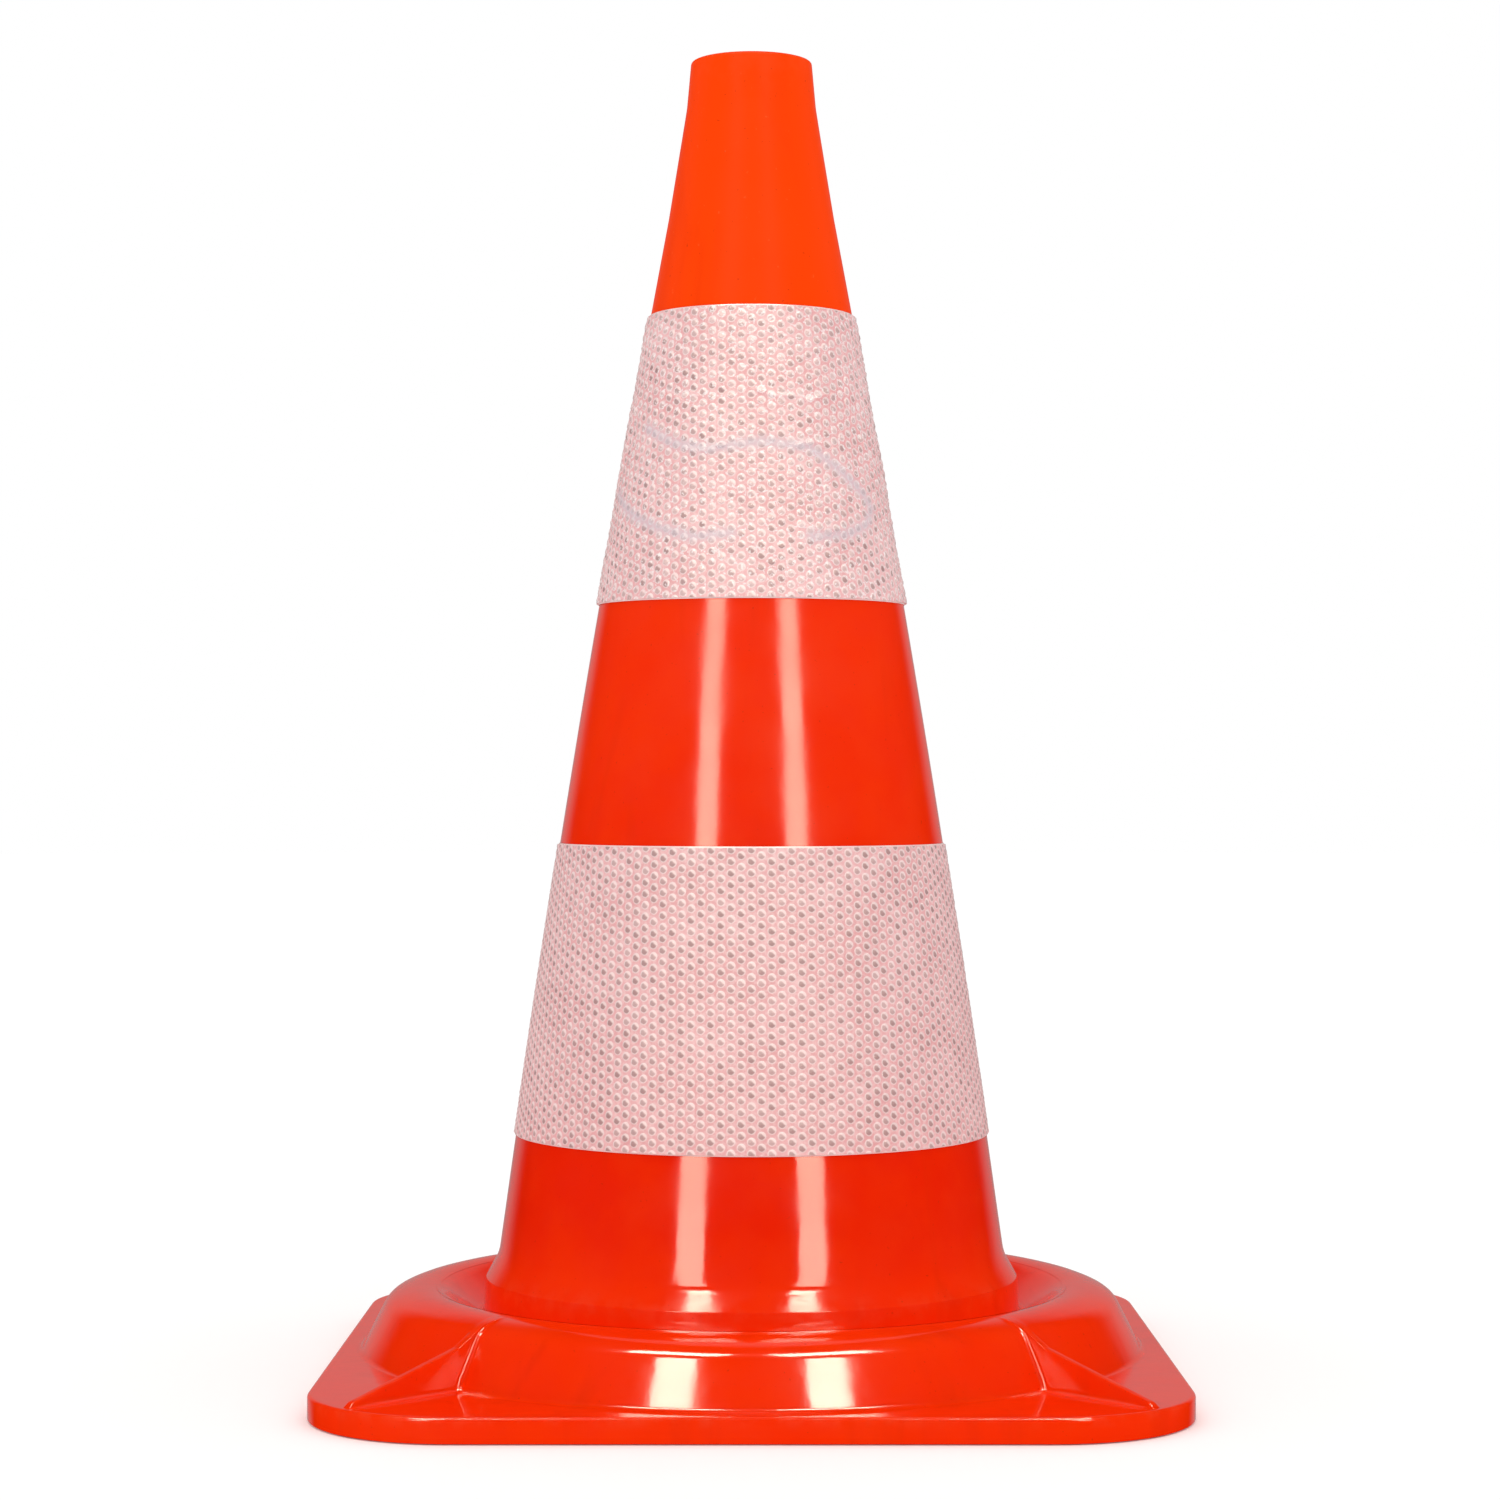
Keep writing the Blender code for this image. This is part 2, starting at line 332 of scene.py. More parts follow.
RING_PATH = np.array([p for p in outer_path() if p[0] >= CREST_RADIUS and p[1] < CREST_Z + 1])


def ring_height(radius):
    return np.interp(radius, RING_PATH[:, 0], RING_PATH[:, 1])


def fin_height(along):
    ends = [FIN_START, FIN_MEETS_RING, FIN_END - 2.0, FIN_END - 0.8, FIN_END, FIN_END + 0.5]
    heights = [FIN_TOP_Z + 0.5, FIN_TOP_Z, FIN_END_Z + 0.2, FIN_END_Z - 0.2, PLATE_HEIGHT + 0.7, PLATE_HEIGHT]
    return np.interp(along, ends, heights)


def quarter_round(radius, distance):
    """How far a fillet of that radius stands off its wall, at a distance along its foot."""
    inside = np.clip(radius - distance, 0, radius)
    return radius - np.sqrt(np.maximum(radius ** 2 - inside ** 2, 0))


def finned(x, y):
    """Height of the ring and the plate with the fins on them, rounded where they meet."""
    along, across = to_diagonal(x, y)
    from_foot = np.maximum(across - FIN_HALF_FOOT, 0)
    reach = quarter_round(FIN_FILLET, from_foot) * (along < FIN_END)
    ground = ring_height(np.hypot(x, y) - reach)
    rise = fin_height(along) - ground
    rise = 0.5 * (rise - 0.3 + np.sqrt((rise - 0.3) ** 2 + 0.3))
    rise = np.where((along > FIN_START - 2) & (along < FIN_END + 0.6), rise, 0)
    rise = rise * smoothstep(FIN_START - 2, FIN_START + 4, along)
    top_round = np.minimum(FIN_TOP_ROUND, rise / 2)
    fillet = np.minimum(FIN_FILLET, rise * 0.6) + 1e-6
    over = np.clip(across - (FIN_HALF_TOP - top_round), 0, top_round)
    crown = rise - top_round + np.sqrt(np.maximum(top_round ** 2 - over ** 2, 0))
    foot = quarter_round(fillet, from_foot)
    side = (across - FIN_HALF_TOP) / (FIN_HALF_FOOT - FIN_HALF_TOP)
    wall = (rise - top_round) + (fillet - rise + top_round) * np.clip(side, 0, 1)
    height = np.where(across <= FIN_HALF_TOP, crown, np.where(across < FIN_HALF_FOOT, wall, foot))
    return ground + np.where(rise > 1e-4, height, 0)


def body_rows():
    """Rings of points that close into the whole skin: down the outside, under, and up the hollow."""
    rows = []
    for r, z in outer_path():
        x, y = circle_row(r)
        if r >= CREST_RADIUS and z < CREST_Z + 1:
            rows.append((x, y, finned(x, y)))
        else:
            stretch = 1 + wobble(x, y, z) / r * smoothstep(20, 60, z) * smoothstep(HEIGHT, HEIGHT - 30, z)
            rows.append((x * stretch, y * stretch, np.full(x.shape, z)))
    start, end = circle_row(PLATE_START), outline_row(RIM_ROUND)
    shares = np.concatenate([np.linspace(0, 0.84, 17)[1:], np.linspace(0.84, 1, 12)[1:]])
    for share in shares:
        x, y = between(start, end, share)
        rows.append((x, y, finned(x, y)))
    rows += edge_rows()
    rows += underside_rows()
    rows += [(*circle_row(r), np.full(DIRECTION.shape, z)) for r, z in cavity_path()[:-1]]
    return rows


def edge_rows():
    """Round the plate's upper edge, down its side and round the lower edge."""
    rows = []
    for angle in np.radians(np.linspace(0, 90, 7)[1:]):
        inset = RIM_ROUND * (1 - math.sin(angle))
        rows.append((*outline_row(inset), PLATE_HEIGHT - RIM_ROUND * (1 - math.cos(angle))))
    rows.append((*outline_row(0), PLATE_HEIGHT / 2))
    for angle in np.radians(np.linspace(0, 90, 4)):
        inset = FLOOR_EDGE_ROUND * (1 - math.cos(angle))
        rows.append((*outline_row(inset), FLOOR_EDGE_ROUND * (1 - math.sin(angle))))
    return [(x, y, np.full(x.shape, z)) for x, y, z in rows]


def underside_rows():
    """Across the skirt, over the pockets between the ribs, and onto the ring's wall."""
    skirt_x, skirt_y = outline_row(SKIRT)
    room = np.hypot(skirt_x, skirt_y) - POCKET_INNER
    depth = smoothstep(1.5, 4.0, room) * np.where(ON_LINE, smoothstep(RIB_HALF, 2.0, abs(LINE_OFFSET)), 1)
    inner = np.minimum(POCKET_INNER, np.hypot(skirt_x, skirt_y) - 1.0)

    def pocket_row(point, level):
        return (*point, POCKET_CEILING * level * depth)

    rows = [pocket_row((skirt_x, skirt_y), 0)]
    rows.append(pocket_row(outline_row(SKIRT + 0.15), 0.8))
    outside, inside = outline_row(SKIRT + 0.5), circle_row(inner + 0.45)
    rows += [pocket_row(between(outside, inside, share), 1) for share in np.linspace(0, 1, 6)]
    rows.append(pocket_row(circle_row(inner + 0.15), 0.8))
    rows.append(pocket_row(circle_row(inner), 0))
    return rows


def new_object(name, mesh, finish, slot, sharp_deg, *nodes):
    """Links the mesh as a piece that rides with the cone and stands for those solids."""
    mesh.materials.append(finish)
    mesh.shade_smooth()
    mesh.set_sharp_from_angle(angle=math.radians(sharp_deg))
    obj = bpy.data.objects.new(name, mesh)
    bpy.context.scene.collection.objects.link(obj)
    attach(obj, "root")
    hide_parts(*nodes)
    return obj


def wear(rows):
    """How rubbed each point is: the lip, the ledge, the plate's rim and the fins' crests."""
    x, y, z = rows[..., 0], rows[..., 1], rows[..., 2]
    radius = np.hypot(x, y)
    straight = BASE_HALF - CORNER_ROUND
    to_rim = CORNER_ROUND - np.hypot(np.maximum(abs(x) - straight, 0), np.maximum(abs(y) - straight, 0))
    along, across = to_diagonal(x, y)
    lip = smoothstep(HEIGHT - 2.5, HEIGHT - 0.4, z)
    ledge = np.exp(-((radius - LEDGE_RADIUS) / 1.2) ** 2 - ((z - LEDGE_Z) / 1.2) ** 2)
    rim = smoothstep(2.2, 0.8, to_rim) * smoothstep(4.5, 7.0, z)
    crest = smoothstep(1.6, 1.0, across) * smoothstep(FIN_START, FIN_MEETS_RING, along)
    crest = crest * smoothstep(9.0, 10.0, z)
    return np.maximum.reduce([lip, ledge, rim, crest])


def cone_moulding(finish, tip_finish):
    rows = np.array([np.stack(row, axis=1) for row in body_rows()])
    count, around = rows.shape[:2]
    index = np.arange(count * around).reshape(count, around)
    low = np.roll(index, -1, axis=0)
    faces = np.stack([index, low, np.roll(low, -1, axis=1), np.roll(index, -1, axis=1)], axis=2)
    mesh = bpy.data.meshes.new("cone_moulding")
    mesh.from_pydata((rows.reshape(-1, 3) * MM).tolist(), [], faces.reshape(-1, 4).tolist())
    layer = mesh.attributes.new("wear", "FLOAT", "POINT")
    layer.data.foreach_set("value", wear(rows).reshape(-1).astype(np.float32))
    mesh.validate()
    centres = np.empty(len(mesh.polygons) * 3)
    mesh.polygons.foreach_get("center", centres)
    moulding = new_object("cone_moulding", mesh, finish, "orange_pvc", 40, "cone_body")
    mesh.materials.append(tip_finish)
    mesh.polygons.foreach_set("material_index", (centres[2::3] > TIP_FROM_Z * MM).astype(np.int32))
    return moulding


# ---------------------------------------------------------------- sleeves

class Sleeve:
    """Where one sleeve lies, and the flat annular sector that it is cut from."""

    def __init__(self, place):
        low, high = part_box(f"{place}_sleeve_face")
        self.place = place
        self.bottom, self.top = low.z / MM, high.z / MM
        self.radius_bottom = wall_radius(self.bottom) + FACE_STANDOFF
        self.radius_top = wall_radius(self.top) + FACE_STANDOFF
        self.radius = (self.radius_bottom + self.radius_top) / 2
        self.taper = (self.radius_bottom - self.radius_top) / SHEET_WIDTH
        self.from_tip_top = self.radius_top / self.taper
        self.from_tip_bottom = self.from_tip_top + SHEET_WIDTH
        self.lap = LAP_WIDTH / self.radius
        self.random = np.random.default_rng({"lower": 11, "upper": 23}[place])

    def height(self, from_tip):
        return self.top - (from_tip - self.from_tip_top) * (self.top - self.bottom) / SHEET_WIDTH


def lattice(sleeve):
    """Centres of the sheet's cells as flat points, in vertical columns with alternate ones shifted."""
    spacing = CELL_PITCH * math.sqrt(3) / 2
    widest = sleeve.taper * (math.pi + sleeve.lap) + 0.02
    half_columns = math.ceil(sleeve.from_tip_bottom * math.sin(widest) / spacing) + 1
    middle = (sleeve.from_tip_top + sleeve.from_tip_bottom) / 2
    reach = math.ceil(middle / CELL_PITCH)
    centres = []
    for column in range(-half_columns, half_columns + 1):
        x = column * spacing
        for row in range(-reach, reach + 1):
            y = -middle + (row + (column % 2) / 2) * CELL_PITCH
            from_tip, angle = math.hypot(x, y), math.atan2(x, -y)
            inside = sleeve.from_tip_top - CELL_PITCH < from_tip < sleeve.from_tip_bottom + CELL_PITCH
            if inside and abs(angle) < widest:
                centres.append((x, y))
    return centres


def cell_ring(count, radius, first_deg):
    turns = np.radians(first_deg + 360 / count * np.arange(count))
    return [(radius * math.cos(t), radius * math.sin(t)) for t in turns]


def embossed_sheet(sleeve, roughness):
    """The sheet laid flat, as a mesh of hexagons that each hold one raised three-sided cell."""
    sheet = bmesh.new()
    cell_layer = sheet.verts.layers.float.new("cell")
    tone_layer = sheet.verts.layers.float.new("tone")
    painted_shade_layer = sheet.verts.layers.float.new("painted_shade")
    corner_offsets = cell_ring(6, CELL_PITCH / math.sqrt(3), 0)
    foot_offsets = cell_ring(12, CELL_RADIUS, 0)
    crown_offsets = cell_ring(6, CELL_RADIUS * 0.6, 30)
    crown_rise = (0.42, 0.78, 0.42, 0.78, 0.42, 0.78)
    # Painted shade on each cell's crown points: full below and at the tip, little at the top and upper right,
    # where the material paints a highlight instead
    crown_painted_shade = (0.15, 0.35, 0.8, 1.0, 1.0, 0.8)
    corners = {}

    def vertex(x, y, rise, cell, tone, painted_shade=0.0):
        made = sheet.verts.new((x, y, rise))
        made[cell_layer] = cell
        made[tone_layer] = tone
        made[painted_shade_layer] = painted_shade
        return made

    for cx, cy in lattice(sleeve):
        tone = sleeve.random.random()
        height = CELL_HEIGHT * (0.85 + 0.3 * sleeve.random.random())
        if sleeve.random.random() < DUD_CELLS:
            height *= 0.35
            tone *= 0.25
        lean_x, lean_y = sleeve.random.normal(0, roughness, 2)
        tip = vertex(cx, cy, height, 1.0, tone, 0.95)
        crown = [
            vertex(cx + x, cy + y, height * rise + lean_x * x + lean_y * y, 0.8, tone, painted_shade)
            for (x, y), rise, painted_shade in zip(crown_offsets, crown_rise, crown_painted_shade)
        ]
        foot = [vertex(cx + x, cy + y, 0, 0.4, tone) for x, y in foot_offsets]
        ring = []
        for x, y in corner_offsets:
            key = (round((cx + x) * 20), round((cy + y) * 20))
            if key not in corners:
                corners[key] = vertex(cx + x, cy + y, 0, 0, 0.5)
            ring.append(corners[key])
        for k in range(6):
            n = (k + 1) % 6
            a, b, c = foot[2 * k], foot[2 * k + 1], foot[(2 * k + 2) % 12]
            sheet.faces.new((tip, crown[k], crown[n]))
            sheet.faces.new((crown[k], a, b))
            sheet.faces.new((crown[k], b, c))
            sheet.faces.new((crown[k], c, crown[n]))
            sheet.faces.new((a, ring[k], b))
            sheet.faces.new((b, ring[k], ring[n]))
            sheet.faces.new((b, ring[n], c))
    return sheet


def unroll(sheet, sleeve):
    """Turns flat points into (azimuth, distance from the cone's tip, rise), and trims the edges."""
    for v in sheet.verts:
        azimuth = math.atan2(v.co.x, -v.co.y) / sleeve.taper
        v.co = (azimuth * sleeve.radius, math.hypot(v.co.x, v.co.y), v.co.z)
    half = (math.pi + sleeve.lap / 2) * sleeve.radius
    cuts = (
        ((0, sleeve.from_tip_top, 0), (0, -1, 0)),
        ((0, sleeve.from_tip_bottom, 0), (0, 1, 0)),
        ((-half, 0, 0), (-1, 0, 0)),
        ((half, 0, 0), (1, 0, 0)),
    )
    for point, outwards in cuts:
        parts = sheet.verts[:] + sheet.edges[:] + sheet.faces[:]
        bmesh.ops.bisect_plane(
            sheet, geom=parts, dist=1e-4, plane_co=point, plane_no=outwards, clear_outer=True
        )
    bmesh.ops.dissolve_degenerate(sheet, dist=0.01, edges=sheet.edges[:])


def edge_chain(sheet, axis, value):
    """The vertices of one trimmed edge, in order along it."""
    found = [v for v in sheet.verts if v.is_boundary and abs(v.co[axis] - value) < 2e-3]
    return sorted(found, key=lambda v: v.co[1 - axis])


def line_swell(points, width, sheet_x, sheet_y):
    """1 on a given line over the sheet, falling to 0 at that width beside it."""
    nearest = np.full(np.shape(sheet_x), 1e9)
    for (x0, y0), (x1, y1) in zip(points, points[1:]):
        length = (x1 - x0) ** 2 + (y1 - y0) ** 2
        share = np.clip(((sheet_x - x0) * (x1 - x0) + (sheet_y - y0) * (y1 - y0)) / length, 0, 1)
        off_x = sheet_x - x0 - share * (x1 - x0)
        off_y = sheet_y - y0 - share * (y1 - y0)
        nearest = np.minimum(nearest, np.hypot(off_x, off_y))
    return np.exp(-(nearest / width) ** 2)


# Creases and trails of glue on the upper sleeve, as (across, up) from the middle of its front
CREASES = (
    ((2, 20.5), (9, 18.6), (15, 19.4), (21, 17.8), (27, 20.6), (33, 22.6)),
    ((15, -25.2), (22, -25.8), (30, -24.8)),
    ((14, 2.0), (22, 4.0), (30, 3.0)),
    ((-34, 22), (-27, 19.6), (-20, 20.4)),
    ((-22, 1.5), (-15, 0.2), (-9, 2.0)),
    ((44, 12), (47, 4), (52, -3)),
    ((-52, 26), (-57, 14), (-60, 2)),
    ((100, 12), (110, 8), (122, 10)),
    ((-118, -14), (-106, -18), (-98, -16)),
)
GLUE_TRAILS = (
    (
        (-42, 9), (-28, 3), (-14, 0.5), (4, 3), (20, 1), (31, -6),
        (40, -13), (44, -18), (40, -24), (30, -28), (18, -29),
    ),
    ((-58, -12), (-46, -19), (-32, -25), (-18, -29), (-6, -28)),
    ((66, -24), (82, -18), (98, -20), (112, -27)),
    ((-92, 14), (-104, 20), (-120, 16)),
)


def bubbles(sheet_x, sheet_y):
    """How far badly smoothed film lifts, from 0 to about 1, over a few shallow blisters."""
    slow = np.sin(sheet_x / 9.1 + 0.7 * np.sin(sheet_y / 8.3)) * np.sin(sheet_y / 7.2 - 1.1 + sheet_x / 31)
    quick = 0.45 * np.sin(sheet_x / 3.7 + sheet_y / 5.9) * np.sin(sheet_y / 3.1 - sheet_x / 7.7)
    return np.clip(0.5 + 0.5 * (slow + quick), 0, 1.2)


def face_film(sleeve, finish, roughness, lift, slot="prismatic_film"):
    """The embossed outer film, wrapped round the cone with its ends lapped at the back."""
    sheet = embossed_sheet(sleeve, roughness)
    unroll(sheet, sleeve)
    half = (math.pi + sleeve.lap / 2) * sleeve.radius
    top = edge_chain(sheet, 1, sleeve.from_tip_top)
    bottom = edge_chain(sheet, 1, sleeve.from_tip_bottom)
    left = edge_chain(sheet, 0, -half)
    right = edge_chain(sheet, 0, half)
    backs = {}

    def back_of(v):
        if v not in backs:
            backs[v] = sheet.verts.new((v.co.x, v.co.y, -FACE_THICKNESS))
        return backs[v]

    for chain, flip in ((top, False), (bottom, True), (left, True), (right, False)):
        for first, second in zip(chain, chain[1:]):
            ring = (first, second, back_of(second), back_of(first))
            sheet.faces.new(ring if flip else tuple(reversed(ring)))
    fill_back(sheet, [back_of(v) for v in top], [back_of(v) for v in bottom], [back_of(v) for v in left],
              [back_of(v) for v in right])
    wrap(sheet, sleeve, lift)
    bmesh.ops.recalc_face_normals(sheet, faces=sheet.faces)
    mesh = bpy.data.meshes.new(f"{sleeve.place}_reflective_film")
    sheet.to_mesh(mesh)
    sheet.free()
    return new_object(f"{sleeve.place}_reflective_film", mesh, finish, slot, 9, f"{sleeve.place}_sleeve_face")


def fill_back(sheet, top, bottom, left, right):
    """Closes the film's inner side with strips between its upper and lower edge."""
    i, j = 0, 0
    while i < len(top) - 1 or j < len(bottom) - 1:
        top_next = top[i + 1].co.x if i < len(top) - 1 else math.inf
        bottom_next = bottom[j + 1].co.x if j < len(bottom) - 1 else math.inf
        if top_next <= bottom_next:
            sheet.faces.new((top[i], top[i + 1], bottom[j]))
            i += 1
        else:
            sheet.faces.new((top[i], bottom[j + 1], bottom[j]))
            j += 1
    for chain in (left, right):
        if len(chain) > 2:
            sheet.faces.new(chain)


def wrap(sheet, sleeve, lift):
    for v in sheet.verts:
        azimuth, from_tip, rise = v.co.x / sleeve.radius, v.co.y, v.co.z
        z = sleeve.height(from_tip)
        lap_start = math.pi - sleeve.lap / 2
        over = float(smoothstep(lap_start - LAP_RAMP / sleeve.radius, lap_start, azimuth))
        radius = wall_radius(z) + FACE_STANDOFF + over * (FACE_THICKNESS + 0.05)
        radius += FACE_THICKNESS + rise
        if rise > -FACE_THICKNESS:
            flat_angle = azimuth * sleeve.taper
            sheet_x = from_tip * math.sin(flat_angle)
            sheet_y = (sleeve.from_tip_top + sleeve.from_tip_bottom) / 2 - from_tip * math.cos(flat_angle)
            radius += lift(azimuth * sleeve.radius, sheet_y)
        v.co = Vector((radius * math.sin(azimuth), -radius * math.cos(azimuth), z)) * MM


def flat_lift(across, up):
    return FLAT_BUBBLES * float(bubbles(across, up))


def creased_lift(across, up):
    swell = CREASED_BUBBLES * float(bubbles(across, up))
    for crease in CREASES:
        swell += CREASE_RISE * float(line_swell(crease, CREASE_SPREAD, across, up))
    return swell


def backing_film(sleeve, finish):
    """The smooth film behind, whose sealed border shows as a thin line along both edges."""
    inner = CARRIER_STANDOFF
    outer = CARRIER_STANDOFF + CARRIER_THICKNESS
    low, high = sleeve.bottom - SEAL_BORDER, sleeve.top + SEAL_BORDER
    heights = list(np.linspace(low, high, 9))
    bevel = CARRIER_THICKNESS / 3
    path = [(wall_radius(z) + outer, z) for z in heights]
    path[0] = (wall_radius(low + bevel) + outer, low + bevel)
    path[-1] = (wall_radius(high - bevel) + outer, high - bevel)
    path += [(wall_radius(high) + outer - bevel, high), (wall_radius(high) + inner, high)]
    path += [(wall_radius(z) + inner, z) for z in reversed(heights[:-1])]
    path += [(wall_radius(low) + outer - bevel, low)]
    ring = bmesh.new()
    turns = 2 * math.pi * np.arange(BACKING_SEGMENTS) / BACKING_SEGMENTS
    rows = [
        [ring.verts.new((r * math.cos(t) * MM, r * math.sin(t) * MM, z * MM)) for t in turns]
        for r, z in path
    ]
    for this, following in zip(rows, rows[1:] + rows[:1]):
        for k in range(BACKING_SEGMENTS):
            n = (k + 1) % BACKING_SEGMENTS
            ring.faces.new((this[k], this[n], following[n], following[k]))
    bmesh.ops.recalc_face_normals(ring, faces=ring.faces)
    mesh = bpy.data.meshes.new(f"{sleeve.place}_backing_film")
    ring.to_mesh(mesh)
    ring.free()
    return new_object(mesh.name, mesh, finish, "carrier_film", 50, f"{sleeve.place}_sleeve_carrier")


# ---------------------------------------------------------------- materials

class Finish:
    """A node material, with short calls for the nodes that it is made of."""

    def __init__(self, name):
        self.material = bpy.data.materials.new(name)
        self.material.use_nodes = True
        self.tree = self.material.node_tree
        self.shader = self.tree.nodes["Principled BSDF"]
        self.object_space = self.tree.nodes.new("ShaderNodeTexCoord").outputs["Object"]

    def node(self, kind, **settings):
        made = self.tree.nodes.new(kind)
        for key, value in settings.items():
            setattr(made, key, value)
        return made

    def feed(self, socket, value):
        if isinstance(value, bpy.types.NodeSocket):
            self.tree.links.new(value, socket)
        else:
            socket.default_value = value

    def set(self, **values):
        for key, value in values.items():
            self.feed(self.shader.inputs[key.replace("_", " ")], value)

    def scaled(self, factors):
        mapping = self.node("ShaderNodeMapping")
        self.feed(mapping.inputs["Vector"], self.object_space)
        mapping.inputs["Scale"].default_value = factors
        return mapping.outputs["Vector"]

    def noise(self, scale, detail=2.0, rough=0.5, vector=None, distortion=0.0):
        made = self.node("ShaderNodeTexNoise")
        self.feed(made.inputs["Vector"], vector or self.object_space)
        made.inputs["Scale"].default_value = scale
        made.inputs["Detail"].default_value = detail
        made.inputs["Roughness"].default_value = rough
        made.inputs["Distortion"].default_value = distortion
        return made.outputs["Fac"]

    def remap(self, value, low, high, to_low=0.0, to_high=1.0, smooth=True):
        made = self.node("ShaderNodeMapRange", interpolation_type="SMOOTHSTEP" if smooth else "LINEAR")
        given = {"Value": value, "From Min": low, "From Max": high, "To Min": to_low, "To Max": to_high}
        for key, setting in given.items():
            self.feed(made.inputs[key], setting)
        return made.outputs["Result"]

    def mix(self, share, first, second, kind="MIX"):
        made = self.node("ShaderNodeMix", data_type="RGBA", blend_type=kind)
        sockets = [s for s in made.inputs if s.enabled]
        for socket, value in zip(sockets, (share, first, second)):
            self.feed(socket, value)
        return next(s for s in made.outputs if s.enabled)

    def math(self, operation, first, second=0.0):
        made = self.node("ShaderNodeMath", operation=operation)
        self.feed(made.inputs[0], first)
        self.feed(made.inputs[1], second)
        return made.outputs["Value"]

    def attribute(self, name):
        return self.node("ShaderNodeAttribute", attribute_name=name).outputs["Fac"]

    def height(self):
        split = self.node("ShaderNodeSeparateXYZ")
        self.feed(split.inputs[0], self.object_space)
        return split.outputs["Z"]

    def bump(self, height, strength, distance, under=None):
        made = self.node("ShaderNodeBump")
        made.inputs["Strength"].default_value = strength
        made.inputs["Distance"].default_value = distance
        self.feed(made.inputs["Height"], height)
        if under is not None:
            self.feed(made.inputs["Normal"], under)
        return made.outputs["Normal"]


def colour(r, g, b):
    return (r, g, b, 1.0)


def orange_pvc(name, upper_roughness, specular):
    """Fluorescent orange PVC with faint mottling, glossy at the base and rougher above it."""
    f = Finish(name)
    height = f.height()
    base = f.mix(f.remap(height, 0.030, 0.060), colour(0.94, 0.027, 0.0003), colour(0.83, 0.015, 0.0002))
    base = f.mix(f.remap(height, 0.10, 0.26), base, colour(0.93, 0.026, 0.0003))
    base = f.mix(f.remap(height, 0.27, 0.36), base, colour(1.0, 0.056, 0.0004))
    clouds = f.noise(34, 4, 0.55)
    base = f.mix(f.remap(clouds, 0.35, 0.7, 0, 0.25), base, colour(0.98, 0.050, 0.001))
    flow = f.noise(60, 3, 0.5, f.scaled((1, 1, 0.12)), 0.6)
    base = f.mix(f.remap(flow, 0.52, 0.72, 0, 0.22), base, colour(0.70, 0.022, 0.001))
    specks = f.noise(900, 1, 0.4)
    base = f.mix(f.remap(specks, 0.74, 0.80, 0, 0.5), base, colour(0.55, 0.02, 0.001))
    dust = f.math("MULTIPLY", f.remap(f.noise(420, 2, 0.6), 0.70, 0.78), f.remap(height, 0.25, 0.45))
    base = f.mix(f.math("MULTIPLY", dust, 0.35), base, colour(1.0, 0.20, 0.06))
    scuffs = f.math("MULTIPLY", f.attribute("wear"), f.remap(f.noise(160, 4, 0.65), 0.42, 0.62))
    base = f.mix(f.math("MULTIPLY", scuffs, 0.10), base, colour(1.0, 0.12, 0.03))
    f.set(Base_Color=base)
    dullness = f.remap(height, 0.05, 0.26, 0.09, upper_roughness)
    patches = f.remap(f.noise(48, 3, 0.6), 0.3, 0.7, -0.02, 0.03)
    rough = f.math("ADD", f.math("ADD", dullness, patches), f.math("MULTIPLY", scuffs, 0.06))
    f.set(Roughness=rough)
    peel = f.bump(f.noise(520, 2, 0.5), 0.10, 0.00012)
    waves = f.bump(f.noise(70, 2, 0.5, f.scaled((1, 1, 0.5))), 0.18, 0.0006, peel)
    f.set(Normal=waves)
    f.set(IOR=1.5, Specular_IOR_Level=specular)
    return f.material


